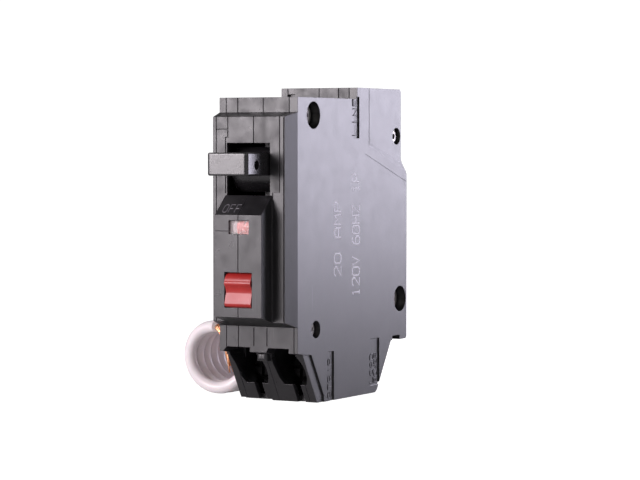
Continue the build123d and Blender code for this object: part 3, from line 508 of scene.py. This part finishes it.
def make_strands():
    """Nineteen twisted copper strands, slightly frayed at the tip."""
    samples = route_samples(BARE_ROUTE)
    mesh = bmesh.new()
    for layer, count in STRAND_LAYERS:
        for number in range(count):
            ends = len(samples) - (number * 5 % 4)
            path = []
            for index in range(ends):
                share = index / (len(samples) - 1)
                angle = 2 * math.pi * (number / count + STRAND_TWIST * share)
                ahead = samples[min(index + 1, len(samples) - 1)] - samples[max(index - 1, 0)]
                ahead.normalize()
                across = Vector((0, 1, 0)).cross(ahead).normalized()
                up = ahead.cross(across)
                past = max(0.0, share - FRAY_START)
                fray = 1 + FRAY * past * (1 + math.sin(number * 2.1))
                reach = layer * MM * fray
                path.append(samples[index] + reach * (math.cos(angle) * across
                                                      + math.sin(angle) * up))
            add_tube(mesh, path, STRAND_RADIUS * MM)
    data = bpy.data.meshes.new("pigtail_strands")
    mesh.to_mesh(data)
    mesh.free()
    for face in data.polygons:
        face.use_smooth = True
    return link("pigtail_strands", data, FINISHES["copper_strands"].material)


def make_pigtail():
    strands = make_strands()
    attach(strands, "root")
    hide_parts("pigtail_bare_end")
    front_end = [at(COIL_X + 1.4, COIL_FRONT - 1.1, 20.6), BARE_ROUTE[0]]
    cord = nurbs("pigtail", LEAD_ROUTE + coil_points() + front_end, WIRE_RADIUS * MM,
                 FINISHES["insulation_white"].material)
    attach(cord, "root")
    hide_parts("pigtail_lead", "pigtail_coil")


# ---------------------------------------------------------------- print and raised letters
# strokes of each letter on a grid four wide and six high
GRID_WIDTH, GRID_HEIGHT = 4, 6
LOOP = [(1, 0), (3, 0), (4, 1), (4, 5), (3, 6), (1, 6), (0, 5), (0, 1), (1, 0)]
BOWL = [(0, 0), (0, 6), (3, 6), (4, 5), (4, 4), (3, 3), (0, 3)]
GLYPHS = {
    "0": [LOOP], "O": [LOOP], "P": [BOWL], "R": [BOWL, [(2, 3), (4, 0)]],
    "1": [[(1, 5), (2, 6), (2, 0)], [(1, 0), (3, 0)]],
    "2": [[(0, 5), (1, 6), (3, 6), (4, 5), (4, 4), (0, 0), (4, 0)]],
    "6": [[(3.6, 6), (1.5, 6), (0, 4.2), (0, 1), (1, 0), (3, 0), (4, 1), (4, 2.4), (3, 3.4),
           (0, 3.4)]],
    "A": [[(0, 0), (0, 4.5), (1.5, 6), (2.5, 6), (4, 4.5), (4, 0)], [(0, 2.4), (4, 2.4)]],
    "D": [[(0, 0), (0, 6), (2.5, 6), (4, 4.5), (4, 1.5), (2.5, 0), (0, 0)]],
    "E": [[(4, 6), (0, 6), (0, 0), (4, 0)], [(0, 3), (3, 3)]],
    "F": [[(4, 6), (0, 6), (0, 0)], [(0, 3), (3, 3)]],
    "H": [[(0, 0), (0, 6)], [(4, 0), (4, 6)], [(0, 3), (4, 3)]],
    "I": [[(2, 0), (2, 6)]],
    "L": [[(0, 6), (0, 0), (4, 0)]],
    "M": [[(0, 0), (0, 6), (2, 3.4), (4, 6), (4, 0)]],
    "N": [[(0, 0), (0, 6), (4, 0), (4, 6)]],
    "W": [[(0, 6), (1, 0), (2, 4), (3, 0), (4, 6)]],
    "S": [[(4, 5), (3, 6), (1, 6), (0, 5), (0, 4), (1, 3), (3, 3), (4, 2), (4, 1), (3, 0), (1, 0),
           (0, 1)]],
    "T": [[(0, 6), (4, 6)], [(2, 6), (2, 0)]],
    "V": [[(0, 6), (2, 0), (4, 6)]],
    "Z": [[(0, 6), (4, 6), (0, 0), (4, 0)]],
    " ": [],
}


def ink_finish():
    """Inkjet print: pale, with small breaks."""
    finish = Finish("print_ink", (0.74, 0.72, 0.78), 0.6)
    breaks = finish.spread(finish.noise(2200, 3.0), 0.56, 0.68, 0.0, 0.7)
    finish.color(finish.mix(breaks, (0.78, 0.76, 0.82), (0.24, 0.23, 0.25)))
    finish.bump(finish.noise(4000, 2.0), 0.00001)
    return finish


def lettering(name, words, place, along, upward, height, width, advance, stroke, proud, material):
    """Line letters from a corner, as flattened round strokes that stand proud of the surface."""
    along, upward = Vector(along).normalized(), Vector(upward).normalized()
    outward = along.cross(upward)
    data = bpy.data.curves.new(name + "_lines", "CURVE")
    data.dimensions = "3D"
    data.bevel_depth = stroke / 2
    data.bevel_resolution = 1
    data.use_fill_caps = True
    for index, letter in enumerate(words):
        for line in GLYPHS[letter]:
            spline = data.splines.new("POLY")
            spline.points.add(len(line) - 1)
            for point, (x, y) in zip(spline.points, line):
                point.co = (index * advance + x / GRID_WIDTH * width,
                            y / GRID_HEIGHT * height, 0, 1)
    lines = link(name + "_lines", data)
    bpy.context.view_layer.update()
    mesh = bpy.data.meshes.new_from_object(lines)
    bpy.data.objects.remove(lines)
    flatten = proud / (stroke / 2)
    for vertex in mesh.vertices:
        x, y, z = vertex.co
        vertex.co = place + (along * x + upward * y + outward * z * flatten) * MM
    mesh.name = name
    piece = link(name, mesh)
    mesh.materials.clear()
    mesh.materials.append(material)
    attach(piece, "root")
    return piece


LABEL_DEPTH, RECESS_OVERRUN = 0.45, 0.1
PRINT_STROKE, PRINT_PROUD, LETTER_PROUD = 0.5, 0.02, 0.16
UP, FORWARD = (0, 0, 1), (0, -1, 0)
# where each label recess's floor starts to slope and where it is deepest, in depth
LINE_SLOPE, LOAD_SLOPE, STRIP_SLOPE = (32.3, 36.3), (41.7, 48.9), (16.7, 21.0)
# name, words, slope, depth, z, letter height, width, advance, stroke
RECESSED_WORDS = [
    ("line_mark", "LINE", LINE_SLOPE, 35.5, 75.8, 3.2, 2.0, 2.85, 0.34),
    ("load_mark", "LOAD", LOAD_SLOPE, 45.0, 3.0, 2.1, 1.6, 2.3, 0.32),
    ("power_mark", "POWER", LOAD_SLOPE, 47.9, 3.0, 2.1, 1.3, 1.84, 0.32),
    ("strip_mark", "STRIP", STRIP_SLOPE, 19.9, 0.7, 2.6, 1.8, 2.4, 0.34),
]
OFF_PLACE, OFF_RAMP = (-5.6, -10.4, 54.35), (0, 5.8, 5.4)


def on_recess(slope, depth, z):
    """Place on the sloping floor of a label recess, and the two directions of its letters."""
    start, end = slope
    fall = (LABEL_DEPTH + RECESS_OVERRUN) / (end - start)
    x = HALF + RECESS_OVERRUN - fall * (depth - start)
    return at(x, depth, z), UP, (fall, -1, 0)


def make_lettering():
    ink = ink_finish().material
    lettering("rating_print", "20 AMP", at(HALF, 25.2, 35.5), UP, FORWARD, 4.0, 2.7, 3.7,
              PRINT_STROKE, PRINT_PROUD, ink)
    lettering("supply_print", "120V 60HZ 1P", at(HALF, 36.4, 29.2), UP, FORWARD, 4.4, 2.3, 3.02,
              PRINT_STROKE, PRINT_PROUD, ink)
    # painted highlight: the raised side letters, of the case's own black, are made 1.6 times
    # paler to stand in for the light they catch
    black = case_finish("raised_letters", 1.6, 0.34, 0.03).material
    for name, words, slope, depth, z, height, width, advance, stroke in RECESSED_WORDS:
        lettering(name, words, *on_recess(slope, depth, z), height, width, advance, stroke,
                  LETTER_PROUD, black)
    # painted highlight: the raised OFF letters are the case black made nine times paler, standing
    # in for the light their edges catch
    off_highlight = case_finish("highlit_off_letters", 9.0, 0.4, 0.03).material
    lettering("off_mark", "OFF", at(*OFF_PLACE), (1, 0, 0), OFF_RAMP, 3.0, 1.35, 1.95, 0.34,
              LETTER_PROUD, off_highlight)


# ---------------------------------------------------------------- studio
# strength where the camera sees it, and as a light
BACKDROP_SEEN, WORLD_LIGHT = 1.1, 0.16
FLOOR_SEEN, FLOOR_LIGHT = 1.0, 0.12
FLOOR_REACH, FLOOR_DROP = 3.0, 0.0002
LAMP_AIM = Vector((0, 0, 0.045))
# name, direction from the object, distance, width, height, radiance, colour
LAMPS = [
    ("side", (0.55, 0.83, 0.12), 1.1, 0.78, 0.7, 6.4, (1.0, 0.96, 1.15)),
    ("front", (-0.50, -0.85, 0.25), 1.2, 0.7, 0.6, 11.0, (1.0, 0.93, 0.98)),
    ("fill", (0.85, -0.50, 0.40), 1.2, 0.5, 0.5, 2.5, (1.0, 0.97, 0.95)),
]


def camera_only(tree, seen, otherwise, target):
    """Give a socket one strength where the camera sees it and another for lighting."""
    rays = tree.nodes.new("ShaderNodeLightPath")
    strength = tree.nodes.new("ShaderNodeMapRange")
    strength.inputs["To Min"].default_value = otherwise
    strength.inputs["To Max"].default_value = seen
    tree.links.new(rays.outputs["Is Camera Ray"], strength.inputs["Value"])
    tree.links.new(strength.outputs["Result"], target)


def make_studio():
    world = bpy.data.worlds.new("studio")
    bpy.context.scene.world = world
    world.use_nodes = True
    background = world.node_tree.nodes["Background"]
    background.inputs["Color"].default_value = (1, 1, 1, 1)
    camera_only(world.node_tree, BACKDROP_SEEN, WORLD_LIGHT, background.inputs["Strength"])

    floor_mesh = bpy.data.meshes.new("floor")
    corners = [(x * FLOOR_REACH, y * FLOOR_REACH, 0)
               for x, y in ((-1, -1), (1, -1), (1, 1), (-1, 1))]
    floor_mesh.from_pydata(corners, [], [(0, 1, 2, 3)])
    floor_finish = Finish("floor", (0.5, 0.5, 0.5), 0.9, Emission_Color=(1, 1, 1, 1))
    camera_only(floor_finish.tree, FLOOR_SEEN, FLOOR_LIGHT,
                floor_finish.shader.inputs["Emission Strength"])
    floor = link("floor", floor_mesh, floor_finish.material)
    floor.location.z = -FLOOR_DROP

    for name, direction, distance, width, height, radiance, color in LAMPS:
        data = bpy.data.lights.new(name, "AREA")
        data.shape = "RECTANGLE"
        data.size, data.size_y = width, height
        data.energy = radiance * math.pi * width * height
        data.color = color
        lamp = link(name, data)
        toward = Vector(direction).normalized()
        lamp.location = LAMP_AIM + toward * distance
        lamp.rotation_euler = (-toward).to_track_quat("-Z", "Y").to_euler()
    bpy.context.scene.view_settings.view_transform = "Standard"


finish_nodes()
make_pigtail()
make_lettering()
make_studio()
